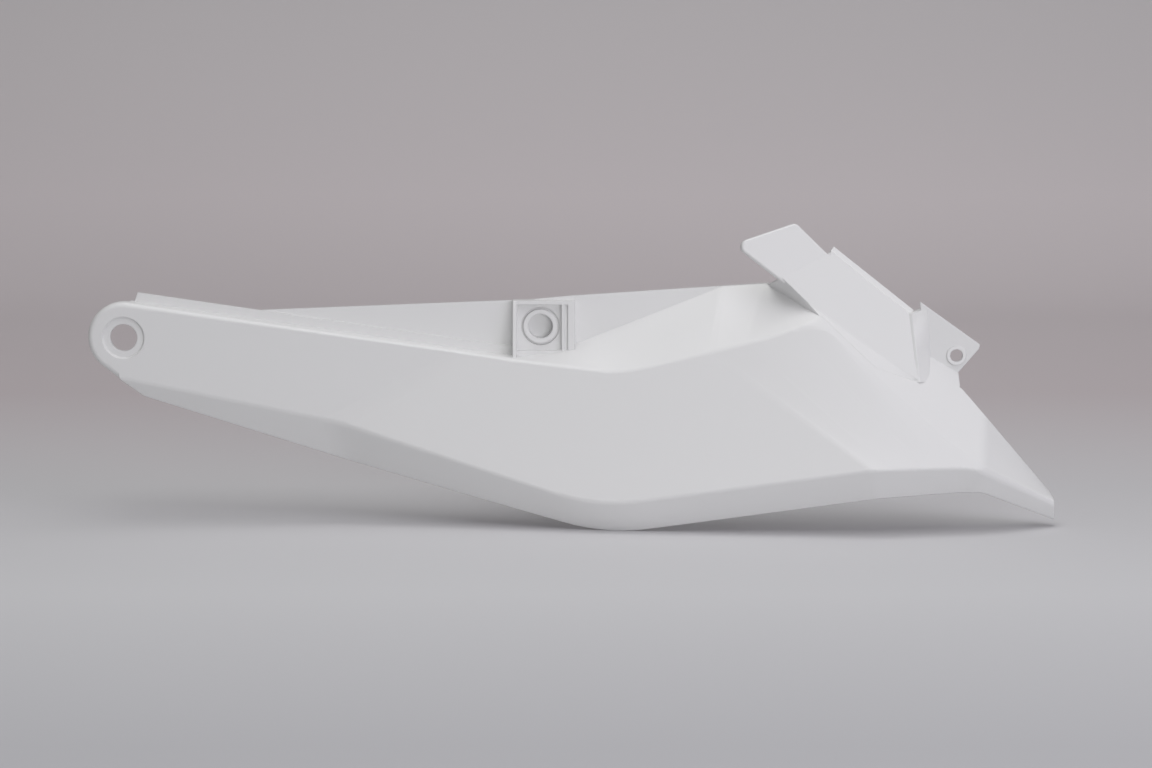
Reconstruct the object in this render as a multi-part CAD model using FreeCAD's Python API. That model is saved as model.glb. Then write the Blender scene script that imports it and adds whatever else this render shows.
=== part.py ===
import FreeCAD, Part
import math
import os

from FreeCAD import Vector

# Right-hand side number plate of an off-road motorcycle, one injection moulding.
# X runs forward, Y inward to the bike, Z up. The rear bolt runs along Y through the origin,
# where its head seats. The shapes are drawn from the tongue's outer face and then moved there.

# Moulded wall and the roundings that follow it
WALL = 2.5
INNER_RADIUS = 0.8
GROOVE_RADIUS = 0.6

# Rear end: a round nose about the bolt
NOSE_RADIUS = 21.6
NOSE_RETURN = 8.0
NOSE_UNDERCUT_ANGLE = 37.4
BOLT_HOLE_D = 16.4
BOLT_RECESS_D = 24.0
BOLT_RECESS_DEPTH = 1.4
BOLT_PAD_D = 29.0
BOLT_PAD_THICKNESS = 2.4

# Seat shelf above the tongue, its lip, and the set-back wall behind
TONGUE_TOP_ANGLE = 8.3
SHELF_DEPTH = 14.0
LIP_HEIGHT = 5.6
LIP_START = 5.0
LIP_LEAN = 2.4
BACK_WALL_START = 82.5
BACK_WALL_TOP = [(215.0, 20.6), (246.0, 21.8), (272.0, 24.2), (391.0, 32.0)]

# Facets: how far each leans or flares for each millimetre along it
FLARE = 0.28
FLANGE_RUN = 0.60
FORE_RETURN = 0.17
FRONT_RETURN = 0.70
RIDGE_SET_BACK = 2.0
TIP_DEPTH = -12.0
KNEE_LOW = (127.4, -51.1)
KNEE_HIGH_X = 209.5
KNEE_SOFTNESS = 8.0
KEEL_SOFTNESS = 27.0
FOLD_SOFTNESS = 2.5
FACET_SOFTNESS = 14.0
CORNER_SOFTNESS = 3.0


def mix(a, b, t):
    return tuple(p + (q - p) * t for p, q in zip(a, b))


def tongue_top(x):
    """Height of the tongue's top edge: the tangent to the nose."""
    angle = math.radians(TONGUE_TOP_ANGLE)
    return (NOSE_RADIUS - x * math.sin(angle)) / math.cos(angle)


KNEE_HIGH = (KNEE_HIGH_X, tongue_top(KNEE_HIGH_X))

# Side view of the four rails, station by station from the nose to the tip
RIDGE_START = (418.1, 12.5)
RIDGE_END = (492.9, -56.2)
LOWER_EDGE = [
    None, (131.7, -76.1), (180.0, -88.3), (222.0, -99.0), (292.0, -116.8),
    (454.0, -92.3), (472.0, -91.5), (490.0, -90.4), (501.0, -90.0), (505.0, -90.0),
    (509.0, -90.0), (513.0, -90.0), (517.0, -90.0), (564.0, -110.2),
]
KEEL_CREASE = [
    None, KNEE_LOW, (180.0, -66.7), (225.0, -80.0), (286.0, -98.1),
    (449.3, -73.3), (468.0, -73.3), (486.0, -73.4), (498.0, -73.5), (502.0, -73.6),
    (506.0, -73.9), (510.0, -74.4), (514.0, -75.5), (563.2, -101.0),
]
UPPER_CREASE = [
    None, KNEE_HIGH, (238.0, -12.3), (270.0, -16.3), (301.2, -20.1),
    (354.9, -6.4), (389.2, 2.7), RIDGE_START, mix(RIDGE_START, RIDGE_END, 0.39),
    mix(RIDGE_START, RIDGE_END, 0.68), mix(RIDGE_START, RIDGE_END, 0.79), RIDGE_END,
    (516.0, -72.6), (562.9, -97.2),
]
UPPER_EDGE = [
    None, KNEE_HIGH, (238.0, -12.3), (272.5, -5.5), (300.4, 5.4),
    (362.3, 29.8), (390.1, 31.5), (420.7, 14.8), (452.2, -14.8), (480.3, -25.0),
    (488.0, -25.8), (504.7, -28.0), (519.5, -45.0), (561.3, -93.2),
]
FLANGE_START = (0.51, -1.676)  # start of the lower edge, in shares of the nose's radius
KNEE, TUB_START, TUB_END, KEEL, FOLD, NOTCH, RIDGE_TOP, LEDGE, FOOT, RIB, TAB, POINT, TIP = range(1, 14)

# Square tub in the set-back wall, with the hollow locating peg in its floor
TUB_LEFT, TUB_BOTTOM = 235.2, -11.2
TUB_WIDTH, TUB_HEIGHT = 37.6, 32.8
TUB_FRONT = 8.0
TUB_RIB_FOOT = -1.0
TUB_POCKET_DEPTH = 3.0
TUB_SIDE = 2.4
TUB_THICK_SIDE = 8.0
TUB_RIDGE = 1.6
TUB_GROOVE_WIDTH = 2.2
TUB_GROOVE_DEPTH = 1.2
PEG_ASIDE, PEG_UP = 16.8, 17.1
PEG_BORE_D = 15.0
PEG_BORE_DEPTH = 6.0
PEG_D = 20.0
PEG_LENGTH = 14.0
COLLAR_D = 20.8
COLLAR_HEIGHT = 1.0
MOAT_WIDTH = 1.1
MOAT_DEPTH = 0.8

# Front bracket: ledge, tray, tongue tab and the screw tab
GROOVE = [(415.4, -13.0, 19.9), (453.7, -17.5, -7.0), (479.4, -19.0, -23.6)]
TRAY_CORNER = (475.2, -7.5, 16.2)
TRAY_TOP = [(427.0, 52.8), (450.5, 33.6), (475.2, 14.9)]
TAB_DRAW = 3.8
TAB_CORNER_RADIUS = 4.5
TAB_EDGE_RADIUS = 1.4
TONGUE_CREASE_LOW = (396.7, 37.6)
TONGUE_CREASE_HIGH = (426.4, 51.6)
TONGUE_TAB_LEFT = (367.5, -12.5, 58.0)
TONGUE_TAB_TOP = (405.6, 70.0)
RIM_SET_BACK = 3.0
RIM_HEIGHT = 3.0
SCREW_TAB_LOW_Y = -6.5
SCREW_TAB_LEAN = 0.07
SCREW_TAB = [(479.8, 23.2), (516.6, -3.0), (516.2, -5.6), (504.1, -20.0), (498.0, -24.0), (484.0, -16.0)]
SHOULDER = [(478.5, -27.0), (482.0, -6.0), (487.4, -8.0), (504.1, -18.9), (504.7, -28.0), (500.0, -32.0)]
SCREW_X, SCREW_Z = 502.6, -9.8
SCREW_HOLE_D = 7.6
SCREW_COLLAR_D = 11.8
SCREW_COLLAR_HEIGHT = 0.6
FLANK_LEFT = 2.4
FLANK_HEIGHT = 1.0
FLANK_RADIUS = 0.8
FLANK_DRAW = 7.0
FLANK_ROWS = [(9.2, 15.9, 19.4, -0.2), (9.0, -8.0, -8.0, -0.2), (5.5, -24.6, -24.6, 0.5)]


def height_on(line, x):
    """Height of a side-view line at x."""
    for (x0, z0), (x1, z1) in zip(line, line[1:]):
        if x <= x1 or (x1, z1) == line[-1]:
            return z0 + (z1 - z0) * (x - x0) / (x1 - x0)


def plane_depth(a, b, c):
    """Depth y of the plane through three points, as a function of x and z."""
    n = (Vector(*b) - Vector(*a)).cross(Vector(*c) - Vector(*a))
    return lambda x, z: a[1] - (n.x * (x - a[0]) + n.z * (z - a[2])) / n.y


# Facet planes

def main_depth(x, z):
    """Depth of the tongue and of the main face, which flares outward past the knee line."""
    along = Vector(KNEE_HIGH[0] - KNEE_LOW[0], 0, KNEE_HIGH[1] - KNEE_LOW[1]).normalize()
    past = (x - KNEE_LOW[0]) * along.z - (z - KNEE_LOW[1]) * along.x
    return -FLARE * max(past, 0.0)


def fore_depth(x):
    """Depth of the keel crease ahead of the fold, where the fore facet turns back inward."""
    return main_depth(*KEEL_CREASE[FOLD]) + FORE_RETURN * (x - KEEL_CREASE[FOLD][0])


def fore_plane():
    """Plane from the top of the ridge down to the keel crease ahead of the fold."""
    fold, point = KEEL_CREASE[FOLD], KEEL_CREASE[POINT]
    depths = main_depth(*RIDGE_START) + RIDGE_SET_BACK, fore_depth(fold[0]), fore_depth(point[0])
    corners = zip((RIDGE_START, fold, point), depths)
    return plane_depth(*[(x, y, z) for (x, z), y in corners])


def front_plane():
    """Plane of the front facet, which turns inward from the ridge."""
    fore = fore_plane()
    start, end = [Vector(x, fore(x, z), z) for x, z in (RIDGE_START, RIDGE_END)]
    across = Vector(start.z - end.z, 0, end.x - start.x).normalize()
    aside = start + across + Vector(0, FRONT_RETURN, 0)
    return plane_depth(tuple(start), tuple(end), tuple(aside))


# Skins: rows of rail points, with rounded corners along and across

def spread(points, reach):
    """Poles of a line of points: the ends, and before, at and after each rounded corner."""
    poles = [points[0]]
    for i in range(1, len(points) - 1):
        back = points[i - 1] - points[i]
        ahead = points[i + 1] - points[i]
        poles.append(points[i] + back * min(reach[i] / back.Length, 0.45))
        poles.append(points[i])
        poles.append(points[i] + ahead * min(reach[i] / ahead.Length, 0.45))
    poles.append(points[-1])
    return poles


def half_turn(points, i):
    """Half the angle by which a line of points turns at one of them."""
    return (points[i] - points[i - 1]).getAngle(points[i + 1] - points[i]) / 2


def pole_spans(count):
    """First and last pole of each straight and each rounded stretch."""
    spans = [(0, 1)]
    for i in range(1, count - 2, 3):
        spans += [(i, i + 2), (i + 2, i + 3)]
    return spans


def patch(poles, weights):
    """Face on a small grid of poles: a true plane where they are flat."""
    nu, nv = len(poles), len(poles[0])
    surface = Part.BSplineSurface()
    surface.buildFromPolesMultsKnots(
        poles, [nu, nu], [nv, nv], [0, 1], [0, 1], False, False, nu - 1, nv - 1, weights)
    corner = poles[0][0]
    normal = (poles[-1][-1] - corner).cross(poles[-1][0] - poles[0][-1])
    flat = normal.Length > 0 and all(
        abs((p - corner).dot(normal)) < 1e-6 * normal.Length for row in poles for p in row)
    if not flat:
        return surface.toShape()
    borders = [surface.uIso(0), surface.vIso(1), surface.uIso(1), surface.vIso(0)]
    edges = []
    for curve in borders:
        ends = curve.value(curve.FirstParameter), curve.value(curve.LastParameter)
        straight = curve.Degree == 1
        edges.append(Part.LineSegment(*ends).toShape() if straight else curve.toShape())
    return Part.Face(Part.Wire(Part.__sortEdges__(edges)))


def skin(rows, softness, radii, wall):
    """Wall whose outer face runs through the rows, offset squarely to its inner face."""
    outer, weights = face_poles(rows, softness, radii)
    return wall_between(outer, offset_poles(outer, wall), weights)


def drawn_skin(rows, softness, radii, draw):
    """Wall whose inner face is its outer face moved inward along the direction of draw."""
    outer, weights = face_poles(rows, softness, radii)
    inner = [[p + Vector(0, draw, 0) for p in section] for section in outer]
    return wall_between(outer, inner, weights)


def face_poles(rows, softness, radii):
    """Poles and weights of a face through the rows, rounded at its rows and stations."""
    lines = [spread(row, reach) for row, reach in zip(rows, softness)]
    stations = range(len(lines[0]))
    outer, weights = [], []
    for j in stations:
        section = [line[j] for line in lines]
        turns = [0.0] + [half_turn(section, i) for i in range(1, len(section) - 1)] + [0.0]
        reach = [radius * math.tan(turn) for radius, turn in zip(radii, turns)]
        outer.append(spread(section, reach))
        weight = [1.0]
        for turn in turns[1:-1]:
            weight += [1.0, math.cos(turn), 1.0]
        weights.append(weight + [1.0])
    return outer, weights


def wall_between(outer, inner, weights):
    across, along = pole_spans(len(outer[0])), pole_spans(len(outer))
    faces = []
    for j0, j1 in along:
        for i0, i1 in across:
            weight = [w[i0:i1 + 1] for w in weights[j0:j1 + 1]]
            for side in (outer, inner):
                faces.append(patch([p[i0:i1 + 1] for p in side[j0:j1 + 1]], weight))
        for i in (0, -1):
            pair = [[p[i] for p in side[j0:j1 + 1]] for side in (outer, inner)]
            faces.append(patch(pair, [[1.0] * len(pair[0])] * 2))
    for j in (0, -1):
        for i0, i1 in across:
            pair = [side[j][i0:i1 + 1] for side in (outer, inner)]
            faces.append(patch(pair, [weights[j][i0:i1 + 1]] * 2))
    return solid_of(faces)


def offset_poles(outer, wall):
    """The poles moved inward by the wall, mitred where neighbouring facets meet."""
    last_j, last_i = len(outer) - 1, len(outer[0]) - 1
    inner = []
    for j in range(last_j + 1):
        row = []
        for i in range(last_i + 1):
            here = outer[j][i]
            ups = side_vectors(here, outer[j][max(i - 1, 0)], outer[j][min(i + 1, last_i)])
            fores = side_vectors(here, outer[max(j - 1, 0)][i], outer[min(j + 1, last_j)][i])
            normals = [up.cross(fore).normalize() for up in ups for fore in fores]
            mean = sum(normals, Vector()) * (1 / len(normals))
            row.append(here + mean * (wall / mean.dot(mean)))
        inner.append(row)
    return inner


def side_vectors(here, before, after):
    return [v for v in (here - before, after - here) if v.Length > 1e-6]


def solid_of(faces):
    shell = Part.makeCompound(faces)
    shell.sewShape(1e-4)
    solid = Part.makeSolid(shell.Shells[0])
    if solid.Volume < 0:
        solid.reverse()
    return solid


def flat_plate(outline, depth, draw):
    """Plate with its outer face on a sloping plane, outlined in side view."""
    points = [Vector(x, depth(x, z), z) for x, z in outline]
    return Part.Face(Part.makePolygon(points + points[:1])).extrude(Vector(0, draw, 0))


def flat_wall(outline, y0, y1):
    """Upright wall between two depths, outlined in side view."""
    points = [Vector(x, y0, z) for x, z in outline]
    return Part.Face(Part.makePolygon(points + points[:1])).extrude(Vector(0, y1 - y0, 0))


def block(x0, x1, y0, y1, z0, z1):
    return Part.makeBox(x1 - x0, y1 - y0, z1 - z0, Vector(x0, y0, z0))


def rod(diameter, x, z, y0, y1):
    return Part.makeCylinder(diameter / 2, y1 - y0, Vector(x, y0, z), Vector(0, 1, 0))


# Rear nose

def nose_frame(inset):
    """Top, rear and lower tangent points of the nose and the foot of its closing line."""
    top = math.radians(TONGUE_TOP_ANGLE)
    low = math.radians(NOSE_UNDERCUT_ANGLE)
    radius = NOSE_RADIUS - inset
    up = Vector(math.sin(top), 0, math.cos(top))
    down = Vector(-math.sin(low), 0, -math.cos(low))
    rear = (up + down).normalize()
    if rear.x > 0:
        rear = rear * -1
    slope = Vector(math.cos(low), 0, -math.sin(low))
    across = Vector(up.z, 0, -up.x)
    run = -(down * radius).dot(across) / slope.dot(across)
    return up * radius, rear * radius, down * radius, down * radius + slope * run


def nose_block(inset, y0, y1, past, radius):
    """The nose's outline between two depths, its front edge rounded, run past the closing line."""
    top, rear, low, foot = nose_frame(inset)
    across = Vector(top.z, 0, -top.x).normalize() * past
    arc = Part.Arc(top, rear, low).toShape()
    ends = [low, foot, foot + across, top + across, top] if past else [low, foot, top]
    sides = [Part.makeLine(a, b) for a, b in zip(ends, ends[1:])]
    body = Part.Face(Part.Wire([arc] + sides)).extrude(Vector(0, y1 - y0, 0))
    front = [e for e in body.Edges if e.BoundBox.YMax < 1e-6 and on_nose_rim(e, arc, low, foot)]
    body = body.makeFillet(radius, front)
    body.translate(Vector(0, y0, 0))
    return body


def on_nose_rim(edge, arc, low, foot):
    middle = edge.valueAt((edge.FirstParameter + edge.LastParameter) / 2)
    slope = Part.makeLine(low, foot)
    return min(Part.Vertex(middle).distToShape(s)[0] for s in (arc, slope)) < 1e-4


def make_nose():
    outer = nose_block(0, 0, NOSE_RETURN, 0, WALL + INNER_RADIUS)
    hollow = nose_block(WALL, WALL, NOSE_RETURN + 1, 3, INNER_RADIUS)
    return outer.cut(hollow)


# Main shell

def rails():
    """The four rails in space: lower edge, keel crease, upper crease and upper edge."""
    top, rear, low, foot = nose_frame(0)
    fore, front = fore_plane(), front_plane()
    keel, upper = [foot], [top]
    for i in range(1, len(LOWER_EDGE)):
        x, z = KEEL_CREASE[i]
        keel.append(Vector(x, main_depth(x, z) if i <= FOLD else fore(x, z), z))
        x, z = UPPER_CREASE[i]
        upper.append(Vector(x, main_depth(x, z) if i < RIDGE_TOP else fore(x, z), z))
    keel[TIP].y = upper[TIP].y = TIP_DEPTH
    crease = [(p.x, p.z) for p in keel]
    depths = [(p.x, p.y) for p in keel]
    lower = []
    for x, z in [(NOSE_RADIUS * FLANGE_START[0], NOSE_RADIUS * FLANGE_START[1])] + LOWER_EDGE[1:]:
        drop = height_on(crease, x) - z
        lower.append(Vector(x, height_on(depths, x) + FLANGE_RUN * drop, z))
    edge = [top + Vector(0, SHELF_DEPTH, 0)]
    for i, (x, z) in enumerate(UPPER_EDGE[1:], 1):
        edge.append(Vector(x, SHELF_DEPTH if i <= NOTCH else front(x, z), z))
    edge[TIP].y = TIP_DEPTH + FRONT_RETURN * (edge[TIP] - upper[TIP]).Length
    return lower, keel, upper, edge


def make_shell(lines):
    softness = [CORNER_SOFTNESS] * len(LOWER_EDGE)
    softness[KNEE] = KNEE_SOFTNESS
    softness[KEEL] = KEEL_SOFTNESS
    softness[FOLD] = FOLD_SOFTNESS
    creases = list(softness)
    creases[NOTCH] = creases[RIDGE_TOP] = FACET_SOFTNESS
    outer_radius = WALL + INNER_RADIUS
    return skin(lines, [softness, creases, creases, softness], [0, outer_radius, outer_radius, 0], WALL)


# Seat rail, back wall, tub and peg

def make_lip():
    """Lip along the inner side of the shelf."""
    start, end = LIP_START, UPPER_CREASE[TUB_START][0]
    low = [(end, UPPER_CREASE[TUB_START][1] - WALL / 2), (KNEE_HIGH[0], KNEE_HIGH[1] - WALL / 2),
           (start, tongue_top(start) - WALL / 2)]
    return flat_wall(lip_top() + low, SHELF_DEPTH - WALL, SHELF_DEPTH)


def lip_top():
    first = LIP_START + LIP_LEAN
    knee, last = KNEE_HIGH, UPPER_CREASE[TUB_START]
    return [(first, tongue_top(first) + LIP_HEIGHT), (knee[0], knee[1] + LIP_HEIGHT),
            (last[0], last[1] + LIP_HEIGHT)]


def make_back_wall():
    """Set-back wall from the lip to the bracket, standing on the shelf and the upper facet."""
    foot = [(x, z - WALL) for x, z in UPPER_EDGE[TUB_START:NOTCH + 1]]
    lip = [(x, z - WALL) for x, z in lip_top()]
    rise = height_on(lip, BACK_WALL_START)
    start = [(BACK_WALL_START, rise), (BACK_WALL_START, rise + WALL)]
    outline = BACK_WALL_TOP + foot[::-1] + [lip[-1], lip[-2]] + start
    return flat_wall(outline, SHELF_DEPTH, SHELF_DEPTH + WALL).cut(tub_hollow())


def make_tub():
    """Square tub on the set-back wall, hollow from behind, with a pocket in front."""
    right, top = TUB_LEFT + TUB_WIDTH, TUB_BOTTOM + TUB_HEIGHT
    floor = tub_floor()
    body = block(TUB_LEFT, right, TUB_FRONT, SHELF_DEPTH + WALL, TUB_BOTTOM - TUB_SIDE, top)
    inner = right - TUB_THICK_SIDE
    pocket = block(TUB_LEFT + TUB_SIDE, inner, TUB_FRONT - 1, floor, TUB_BOTTOM + TUB_SIDE, top - TUB_SIDE)
    groove = block(inner + TUB_RIDGE, inner + TUB_RIDGE + TUB_GROOVE_WIDTH, TUB_FRONT - 1,
                   TUB_FRONT + TUB_GROOVE_DEPTH, TUB_BOTTOM - WALL, top - TUB_SIDE)
    return body.cut([pocket, groove, tub_hollow()]).fuse(make_peg()).cut(peg_cuts())


def tub_hollow():
    return block(TUB_LEFT + TUB_SIDE, TUB_LEFT + TUB_WIDTH - TUB_SIDE, tub_floor() + WALL,
                 SHELF_DEPTH + 2 * WALL, TUB_BOTTOM + TUB_SIDE, TUB_BOTTOM + TUB_HEIGHT - TUB_SIDE)


def tub_floor():
    """Depth of the tub's floor, behind its rim."""
    return TUB_FRONT + TUB_POCKET_DEPTH


def make_tub_rib():
    """Rib down the tub's rear side, coming forward to the shelf's outer edge."""
    low, top = TUB_BOTTOM - TUB_SIDE, TUB_BOTTOM + TUB_HEIGHT
    corners = [(TUB_FRONT, top), (TUB_RIB_FOOT, low), (SHELF_DEPTH + WALL, low), (SHELF_DEPTH + WALL, top)]
    points = [Vector(TUB_LEFT, y, z) for y, z in corners]
    return Part.Face(Part.makePolygon(points + points[:1])).extrude(Vector(TUB_SIDE, 0, 0))


def peg_rod(diameter, y0, y1):
    """Round bar on the peg's axis."""
    return rod(diameter, TUB_LEFT + PEG_ASIDE, TUB_BOTTOM + PEG_UP, y0, y1)


def make_peg():
    """Tube from the tub's floor to the peg's inner end, with a low collar round its mouth."""
    floor = tub_floor()
    collar = peg_rod(COLLAR_D, floor - COLLAR_HEIGHT, floor + WALL)
    return collar.fuse(peg_rod(PEG_D, floor, SHELF_DEPTH + WALL + PEG_LENGTH))


def peg_cuts():
    """The peg's blind mouth, its hollow from behind, and the moat round the collar."""
    floor = tub_floor()
    mouth = peg_rod(PEG_BORE_D, floor - 2 * COLLAR_HEIGHT, floor + PEG_BORE_DEPTH)
    hollow = peg_rod(PEG_BORE_D, floor + PEG_BORE_DEPTH + WALL, SHELF_DEPTH + 2 * WALL + PEG_LENGTH)
    moat = peg_rod(COLLAR_D + 2 * MOAT_WIDTH, floor - COLLAR_HEIGHT, floor + MOAT_DEPTH)
    return [mouth, hollow, moat.cut(peg_rod(COLLAR_D, floor - COLLAR_HEIGHT, floor + MOAT_DEPTH))]


# Front bracket

def tray_depth():
    return plane_depth(GROOVE[0], GROOVE[2], TRAY_CORNER)


def bedded(edge, crease):
    """Points just inside the shell's wall along its upper edge, where the bracket springs."""
    points = []
    for at_edge, at_crease in zip(edge, crease):
        back = at_crease - at_edge
        points.append(at_edge + back * min(1.2 / back.Length, 0.4) + Vector(0, 1, 0))
    return points


def make_bracket(edge, crease):
    """Ledge and tray, and the web that closes the space below the tongue tab."""
    tray = tray_depth()
    groove = [Vector(x, tray(x, z), z) for x, y, z in GROOVE]
    crest = [Vector(x, tray(x, z), z) for x, z in TRAY_TOP]
    ledge = bedded(edge[RIDGE_TOP:FOOT + 1], crease[RIDGE_TOP:FOOT + 1])
    softness = [[0, CORNER_SOFTNESS, 0]] * 3
    pan = drawn_skin([ledge, groove, crest], softness, [0, GROOVE_RADIUS, 0], TAB_DRAW)
    inside = (GROOVE[0][0] + 2, GROOVE[0][2])
    gusset = flat_plate([TONGUE_CREASE_HIGH, inside, GROOVE[0][::2], TONGUE_CREASE_LOW], tray, TAB_DRAW)
    foot = bedded(edge[NOTCH:RIDGE_TOP + 1], crease[NOTCH:RIDGE_TOP + 1])
    low = Vector(TONGUE_CREASE_LOW[0], tray(*TONGUE_CREASE_LOW), TONGUE_CREASE_LOW[1])
    web = drawn_skin([foot, [low, groove[0]]], [[0, 0]] * 2, [0, 0], WALL)
    return [pan, gusset, web]


def make_tongue_tab():
    """Tab bent outward from the tray along a crease, its free corners rounded."""
    tray = tray_depth()
    low, high = [Vector(x, tray(x, z), z) for x, z in (TONGUE_CREASE_LOW, TONGUE_CREASE_HIGH)]
    tab = plane_depth(tuple(low), tuple(high), TONGUE_TAB_LEFT)
    along = (high - low).normalize()
    normal = along.cross(Vector(*TONGUE_TAB_LEFT) - low).normalize()
    if normal.y < 0:
        normal = normal * -1
    tuck = Vector(along.z, 0, -along.x) * TAB_DRAW
    corners = [TONGUE_TAB_LEFT[::2], TONGUE_TAB_TOP]
    corners += [(p.x, p.z) for p in (high + tuck, low + tuck)]
    points = [Vector(x, tab(x, z), z) for x, z in corners]
    plate = Part.Face(Part.makePolygon(points + points[:1])).extrude(normal * TAB_DRAW)
    free = [e for e in plate.Edges if edge_at(e, points[0]) or edge_at(e, points[1])]
    plate = plate.makeFillet(TAB_CORNER_RADIUS, free)
    rim = [e for e in plate.Edges if on_outer_rim(e, low, normal, along)]
    return plate.makeFillet(TAB_EDGE_RADIUS, rim)


def edge_at(edge, corner):
    """True for the edge that runs through the wall at a corner of a plate."""
    starts_there = min((v.Point - corner).Length for v in edge.Vertexes) < 1e-6
    return starts_there and edge.Length < 1.01 * TAB_DRAW


def on_outer_rim(edge, crease, normal, along):
    """True for an edge on the outer face of the tongue tab that isn't its bent side."""
    outer = all(abs((v.Point - crease).dot(normal)) < 1e-6 for v in edge.Vertexes)
    beside = [(v.Point - crease).cross(along).Length for v in edge.Vertexes]
    return outer and max(beside) > 2 * TAB_DRAW


def make_shoulder():
    """Piece of the front facet that runs up between the bracket and the screw tab."""
    return flat_plate(SHOULDER, front_plane(), WALL / math.cos(math.atan(FRONT_RETURN)))


def make_rim():
    """Strip that stands behind the tray's upper edge and shows past it."""
    tray = tray_depth()
    first, last = TRAY_TOP[0], TRAY_TOP[-1]
    along = Vector(last[0] - first[0], 0, last[1] - first[1]).normalize()
    up = Vector(-along.z, 0, along.x)
    outline = []
    for (x, z), side in ((first, 1), (last, 1), (last, -1), (first, -1)):
        outline.append((x + side * up.x * RIM_HEIGHT, z + side * up.z * RIM_HEIGHT))
    return flat_plate(outline, lambda x, z: tray(x, z) + RIM_SET_BACK, WALL)


def screw_tab_depth(x, z):
    return SCREW_TAB_LOW_Y - SCREW_TAB_LEAN * (z - SCREW_TAB[3][1])


def make_screw_tab():
    plate = flat_plate(SCREW_TAB, screw_tab_depth, WALL)
    y = screw_tab_depth(SCREW_X, SCREW_Z)
    collar = rod(SCREW_COLLAR_D, SCREW_X, SCREW_Z, y - SCREW_COLLAR_HEIGHT, y + WALL / 2)
    return plate.fuse(collar)


def screw_hole():
    y = screw_tab_depth(SCREW_X, SCREW_Z)
    return rod(SCREW_HOLE_D, SCREW_X, SCREW_Z, y - 2 * WALL, y + 2 * WALL)


def make_flank():
    """End of the tray, from a low crest back to the screw tab and down into the front facet.

    Each row has its width, the heights of its crest and far edge, and how far that edge sinks in.
    """
    tray, front = tray_depth(), front_plane()
    (x0, z0), (x1, y1, z1) = TRAY_TOP[-1], GROOVE[-1]
    left, crest, right = [], [], []
    for width, z, far_z, sink in FLANK_ROWS:
        x = x0 + (x1 - x0) * (z0 - z) / (z0 - z1)
        far = max(screw_tab_depth, front, key=lambda depth: -depth(x + width, far_z))
        left.append(Vector(x - FLANK_LEFT, tray(x - FLANK_LEFT, z) + 0.5, z))
        crest.append(Vector(x, tray(x, z) - FLANK_HEIGHT, z))
        right.append(Vector(x + width, far(x + width, far_z) + sink, far_z))
    crest[-1].y = tray(crest[-1].x, crest[-1].z)
    return drawn_skin([left, crest, right], [[0, CORNER_SOFTNESS, 0]] * 3, [0, FLANK_RADIUS, 0], FLANK_DRAW)


def bolt_cuts():
    recess = Part.makeCone(BOLT_RECESS_D / 2 + 0.8, BOLT_RECESS_D / 2, BOLT_RECESS_DEPTH,
                           Vector(), Vector(0, 1, 0))
    return [recess, rod(BOLT_HOLE_D, 0, 0, -1, NOSE_RETURN)]


def make_panel():
    lower, keel, upper, edge = rails()
    shell = make_shell([lower, keel, upper, edge])
    pad = rod(BOLT_PAD_D, 0, 0, WALL / 2, WALL + BOLT_PAD_THICKNESS)
    walls = [make_nose(), pad, make_lip(), make_back_wall(), make_tub(), make_tub_rib()]
    front = [make_tongue_tab(), make_shoulder(), make_rim(), make_screw_tab(), make_flank()]
    body = shell.fuse(walls + front + make_bracket(edge, upper))
    body = body.cut(bolt_cuts() + [screw_hole()])
    body.translate(Vector(0, -BOLT_RECESS_DEPTH, 0))
    return body


os.makedirs("parts", exist_ok=True)
panel = make_panel()
print("solids", len(panel.Solids), "valid", panel.isValid(), "volume mm3", round(panel.Volume),
      "faces", len(panel.Faces))
panel.Solids[0].exportStep("parts/side_panel.step")
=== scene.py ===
import math

import bpy
import numpy as np
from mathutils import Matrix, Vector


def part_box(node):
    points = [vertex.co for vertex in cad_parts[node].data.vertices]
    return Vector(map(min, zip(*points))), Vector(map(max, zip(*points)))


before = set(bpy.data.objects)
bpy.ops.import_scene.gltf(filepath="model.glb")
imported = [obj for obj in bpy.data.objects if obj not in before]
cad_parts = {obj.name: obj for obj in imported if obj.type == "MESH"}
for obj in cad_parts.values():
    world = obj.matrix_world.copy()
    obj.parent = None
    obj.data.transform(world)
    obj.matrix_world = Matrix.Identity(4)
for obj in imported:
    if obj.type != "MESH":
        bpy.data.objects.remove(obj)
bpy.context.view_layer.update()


# The side number plate: one injection moulding in white polypropylene, 2.5 mm thick.
# The tool was finely spark-eroded, so its skin has a satin grain, and every outer edge
# came out of the tool with a small round on it.

MOULDED_WHITE = "#E3E3E3"
SATIN_ROUGHNESS = 0.42
PLASTIC_IOR = 1.49
SPARK_GRAIN_MM = 0.35
GRAIN_HEIGHT_MM = 0.05
GRAIN_STRENGTH = 0.06
EDGE_ROUND_MM = 0.9


def linear(hex_colour):
    """sRGB hex colour as the linear RGBA that the shaders take."""
    levels = [int(hex_colour[i:i + 2], 16) / 255 for i in (1, 3, 5)]
    return [v / 12.92 if v <= 0.04045 else ((v + 0.055) / 1.055) ** 2.4 for v in levels] + [1.0]


def add_node(tree, kind, settings=None, inputs=None):
    """Add one shader node, set its properties and inputs, and link any socket given as an input."""
    node = tree.nodes.new(kind)
    for name, value in (settings or {}).items():
        setattr(node, name, value)
    for name, value in (inputs or {}).items():
        if isinstance(value, bpy.types.NodeSocket):
            tree.links.new(value, node.inputs[name])
        else:
            node.inputs[name].default_value = value
    return node


def new_material(name):
    """A material with an empty node tree and its output node."""
    material = bpy.data.materials.new(name)
    material.use_nodes = True
    material.node_tree.nodes.clear()
    return material, material.node_tree


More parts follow.
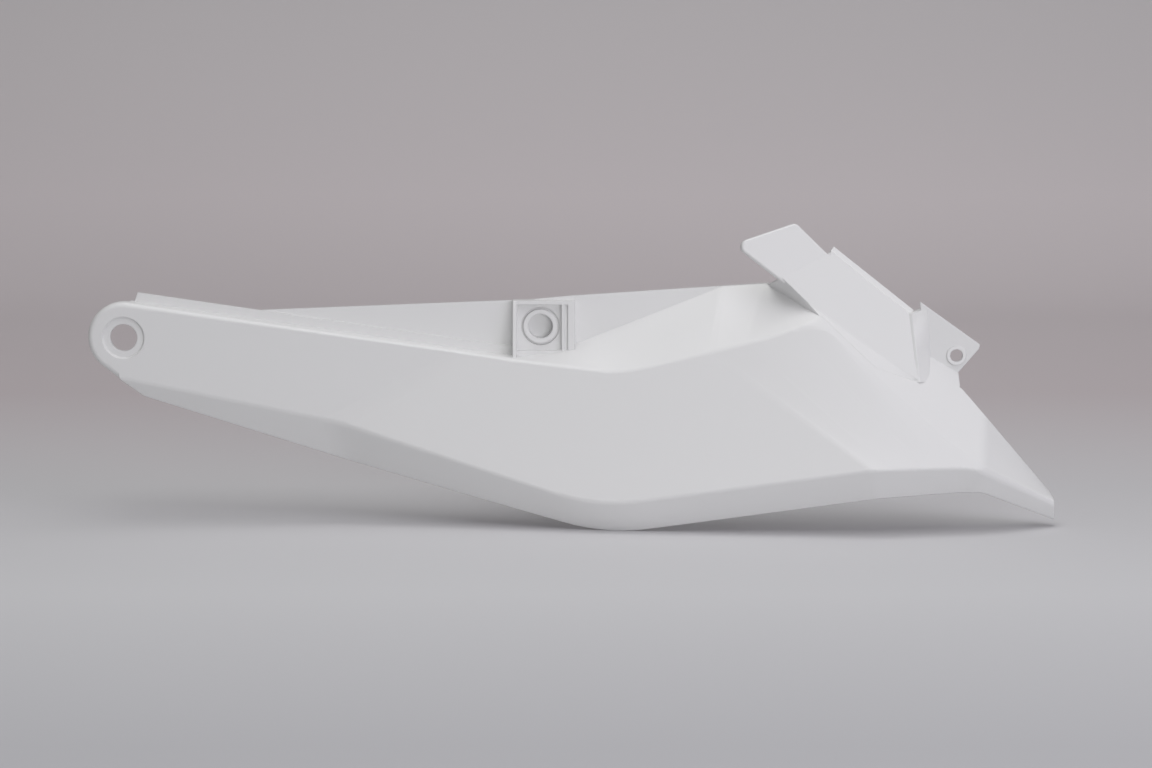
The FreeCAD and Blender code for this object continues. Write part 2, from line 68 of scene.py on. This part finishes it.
# Moulded polypropylene: a milky white that light enters a little way, with a satin shine
def moulded_polypropylene():
    material, tree = new_material("moulded_polypropylene")
    place = add_node(tree, "ShaderNodeTexCoord")
    grain = add_node(tree, "ShaderNodeTexNoise", None, {
        "Vector": place.outputs["Object"], "Scale": 1000 / SPARK_GRAIN_MM, "Detail": 2.0})
    rounded = add_node(tree, "ShaderNodeBevel", {"samples": 8}, {"Radius": EDGE_ROUND_MM / 1000})
    bump = add_node(tree, "ShaderNodeBump", None, {
        "Strength": GRAIN_STRENGTH, "Distance": GRAIN_HEIGHT_MM / 1000, "Height": grain.outputs["Fac"],
        "Normal": rounded.outputs["Normal"]})
    shader = add_node(tree, "ShaderNodeBsdfPrincipled", None, {
        "Base Color": linear(MOULDED_WHITE), "Roughness": SATIN_ROUGHNESS, "IOR": PLASTIC_IOR,
        "Normal": bump.outputs["Normal"]})
    add_node(tree, "ShaderNodeOutputMaterial", None, {"Surface": shader.outputs["BSDF"]})
    return material


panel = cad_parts["side_panel"]
white = moulded_polypropylene()
for seat in panel.material_slots:
    seat.material = white


# The studio: a wide grey sweep of paper, flat under the panel and rising behind it.
# The panel stands on its lowest edge.

# The paper's colour at depths from front to back, with painted light in it: the brightness changes
# along the sweep are painted in, standing in for the lamps' light falling off over the floor and up
# the wall
PAPER_TONES_WITH_PAINTED_LIGHT = [
    (-0.50, "#C2C2C5"), (-0.20, "#D4D4D6"), (0.12, "#CECDCF"),
    (0.56, "#CFC7C9"), (1.48, "#E8E1E3"), (1.80, "#DBD8D9"),
]
PAPER_ROUGHNESS = 0.95
PAPER_SHINE = 0.1
SWEEP_CENTRE = 0.27
SWEEP_HALF_WIDTH = 3.0
SWEEP_FRONT = -3.0
SWEEP_BACK = 1.1
SWEEP_RADIUS = 0.8
SWEEP_TOP = 3.0

floor_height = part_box("side_panel")[0][2]


def paper_sweep():
    """Sheet whose side view is a straight floor, a quarter circle and an upright wall."""
    turn = np.linspace(0, math.pi / 2, 25)
    wall_depth = SWEEP_BACK + SWEEP_RADIUS
    y = np.concatenate([[SWEEP_FRONT], SWEEP_BACK + SWEEP_RADIUS * np.sin(turn), [wall_depth]])
    z = np.concatenate([[0], SWEEP_RADIUS * (1 - np.cos(turn)), [SWEEP_TOP]])
    x = np.array([-SWEEP_HALF_WIDTH, SWEEP_HALF_WIDTH]) + SWEEP_CENTRE
    points = np.stack(np.broadcast_arrays(x[:, None], y[None, :], z[None, :] + floor_height), 2)
    count = len(y)
    first = np.arange(count - 1)
    faces = np.stack([first + count, first + count + 1, first + 1, first], 1)
    mesh = bpy.data.meshes.new("paper_sweep")
    mesh.from_pydata(points.reshape(-1, 3).tolist(), [], faces.tolist())
    mesh.polygons.foreach_set("use_smooth", np.ones(len(faces), bool))
    sweep = bpy.data.objects.new("paper_sweep", mesh)
    bpy.context.collection.objects.link(sweep)
    return sweep


# Matt studio paper: no shine, with painted light: its brightness changes slowly from the front of the
# floor to the wall, painted in to stand in for how the lamps light the sweep
def studio_paper():
    material, tree = new_material("studio_paper")
    place = add_node(tree, "ShaderNodeTexCoord")
    axes = add_node(tree, "ShaderNodeSeparateXYZ", None, {"Vector": place.outputs["Object"]})
    front, back = PAPER_TONES_WITH_PAINTED_LIGHT[0][0], PAPER_TONES_WITH_PAINTED_LIGHT[-1][0]
    toward_back = add_node(tree, "ShaderNodeMapRange", None, {
        "Value": axes.outputs["Y"], "From Min": front, "From Max": back})
    # Painted light: this ramp paints the lamps' fall-off over the floor and wall into the paper's
    # colour
    painted_falloff_ramp = add_node(tree, "ShaderNodeValToRGB", None, {"Fac": toward_back.outputs["Result"]})
    stops = painted_falloff_ramp.color_ramp.elements
    for depth, _ in PAPER_TONES_WITH_PAINTED_LIGHT[1:-1]:
        stops.new((depth - front) / (back - front))
    for stop, (_, colour) in zip(stops, PAPER_TONES_WITH_PAINTED_LIGHT):
        stop.color = linear(colour)
    shader = add_node(tree, "ShaderNodeBsdfPrincipled", None, {
        "Base Color": painted_falloff_ramp.outputs["Color"], "Roughness": PAPER_ROUGHNESS,
        "Specular IOR Level": PAPER_SHINE})
    add_node(tree, "ShaderNodeOutputMaterial", None, {"Surface": shader.outputs["BSDF"]})
    return material


sweep = paper_sweep()
sweep.data.materials.append(studio_paper())


# The lamps: soft boxes above in front, straight above and to the right, a low wide strip in
# front that reaches under the flange, and even fill

CENTRE = np.array([0.27, 0.0, -0.03])
FILL_COLOUR = "#F3F3F3"
FILL_STRENGTH = 0.2


def soft_box(name, place, width, height, power, colour="#FFFFFF"):
    """Area lamp at a place, aimed at the panel's middle."""
    lamp = bpy.data.lights.new(name, "AREA")
    lamp.shape = "RECTANGLE"
    lamp.size = width
    lamp.size_y = height
    lamp.energy = power
    lamp.color = linear(colour)[:3]
    box = bpy.data.objects.new(name, lamp)
    box.location = place
    aim = CENTRE - np.array(place)
    flat = math.hypot(aim[0], aim[1])
    box.rotation_euler = (math.pi / 2 + math.atan2(aim[2], flat), 0, math.atan2(-aim[0], aim[1]))
    bpy.context.collection.objects.link(box)
    return box


soft_box("front_top_box", (0.35, -0.5, 1.7), 1.6, 1.6, 15.6)
soft_box("overhead_box", (0.3, 0.05, 1.9), 1.2, 1.2, 4.8)
soft_box("right_box", (1.7, -1.3, 0.8), 1.2, 1.2, 6.2, "#F2ECFF")
soft_box("low_strip", (0.95, -2.2, 0.12), 1.4, 0.45, 13.0)

world = bpy.data.worlds.new("studio_fill")
world.use_nodes = True
background = world.node_tree.nodes["Background"]
background.inputs["Color"].default_value = linear(FILL_COLOUR)
background.inputs["Strength"].default_value = FILL_STRENGTH
bpy.context.scene.world = world


# The camera: level with the panel's middle, 1.6 m away and 8 degrees above it, long lens

CAMERA_AIM = (0.2736, -0.0164, -0.026)
CAMERA_REACH = 1.62
CAMERA_TILT = math.radians(8)
FOCAL_MM = 84.375
SENSOR_MM = 36.0

camera = bpy.data.cameras.new("camera")
camera.lens = FOCAL_MM
camera.sensor_width = SENSOR_MM
camera.sensor_fit = "HORIZONTAL"
viewer = bpy.data.objects.new("camera", camera)
viewer.location = (
    CAMERA_AIM[0],
    CAMERA_AIM[1] - CAMERA_REACH * math.cos(CAMERA_TILT),
    CAMERA_AIM[2] + CAMERA_REACH * math.sin(CAMERA_TILT),
)
viewer.rotation_euler = (math.pi / 2 - CAMERA_TILT, 0, 0)
bpy.context.collection.objects.link(viewer)
bpy.context.scene.camera = viewer
bpy.context.scene.view_settings.view_transform = "Standard"
